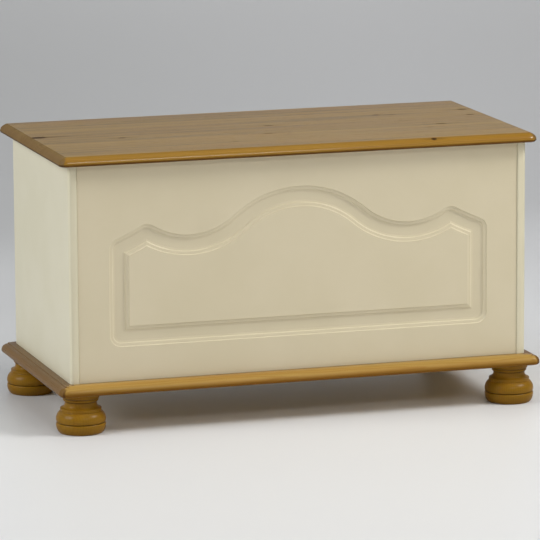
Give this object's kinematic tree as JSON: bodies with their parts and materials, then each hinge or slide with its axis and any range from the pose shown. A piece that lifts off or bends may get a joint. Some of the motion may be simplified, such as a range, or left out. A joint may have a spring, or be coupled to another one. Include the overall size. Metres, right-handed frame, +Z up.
{
  "type": "blanket chest",
  "caption": "Blanket chest on turned bun feet: lacquered box with a routed cathedral-arch front, moulded pine base, and a moulded pine lid hinged at the back on slotted stays.",
  "frame": {"origin": "middle of the chest's footprint, on the floor", "axes": "+X along the chest to the right of someone who faces its front, +Y from the front to the hinged back, +Z up"},
  "size_m": [0.8462, 0.4157, 0.4657],
  "materials": {
    "cream_lacquer": "satin cream lacquer on board",
    "pine_lid": "clear satin varnish on solid pine",
    "pine_base": "clear satin varnish on solid pine",
    "pine_feet": "clear gloss varnish on turned pine",
    "bottom_ply": "bare ply",
    "plain_pine": "bare pine",
    "beech": "bare beech",
    "zinc": "zinc plated",
    "steel_screws": "zinc plated",
    "brass_fittings": "satin brass plate"
  },
  "bodies": {
    "chest": {"back_panel": "cream_lacquer", "base_rail_back": "pine_base", "base_rail_front": "pine_base", "base_rail_left": "pine_base", "base_rail_right": "pine_base", "base_screws": "steel_screws", "bottom_panel": "bottom_ply", "bottom_screws": "steel_screws", "cam_bolts": "zinc", "cam_locks": "zinc", "corner_block_back_left": "plain_pine", "corner_block_back_right": "plain_pine", "corner_block_front_left": "plain_pine", "corner_block_front_right": "plain_pine", "dowels": "beech", "foot_back_left": "pine_feet", "foot_back_right": "pine_feet", "foot_front_left": "pine_feet", "foot_front_right": "pine_feet", "foot_screws": "steel_screws", "front_panel": "cream_lacquer", "hinge_leaf_back_left": "brass_fittings", "hinge_leaf_back_right": "brass_fittings", "hinge_pins": "brass_fittings", "hinge_screws_back": "brass_fittings", "side_panel_left": "cream_lacquer", "side_panel_right": "cream_lacquer", "stay_stud_left": "brass_fittings", "stay_stud_right": "brass_fittings"},
    "lid": {"bracket_screws": "brass_fittings", "hinge_leaf_lid_left": "brass_fittings", "hinge_leaf_lid_right": "brass_fittings", "hinge_screws_lid": "brass_fittings", "lid_board": "pine_lid", "stay_bracket_left": "brass_fittings", "stay_bracket_right": "brass_fittings", "stay_rivet_left": "brass_fittings", "stay_rivet_right": "brass_fittings"},
    "stay_left": {"stay_arm_left": "brass_fittings"},
    "stay_right": {"stay_arm_right": "brass_fittings"}
  },
  "joints": [
    {"name": "lid_hinge", "type": "hinge", "parent": "chest", "child": "lid", "pos_m": [0, 0.1866, 0.4451], "axis": [-1, 0, 0], "range_deg": [0, 95]},
    {"name": "stay_left_pivot", "type": "hinge", "parent": "lid", "child": "stay_left", "pos_m": [-0.37975, 0.05181, 0.4375], "axis": [-1, 0, 0], "range_deg": [-47.5, 0]},
    {"name": "stay_right_pivot", "type": "hinge", "parent": "lid", "child": "stay_right", "pos_m": [0.37975, 0.05181, 0.4375], "axis": [-1, 0, 0], "range_deg": [-47.5, 0]}
  ],
  "couplings": [
    {"joint": "stay_left_pivot", "follows": "lid_hinge", "ratio": -0.5},
    {"joint": "stay_right_pivot", "follows": "lid_hinge", "ratio": -0.5}
  ]
}
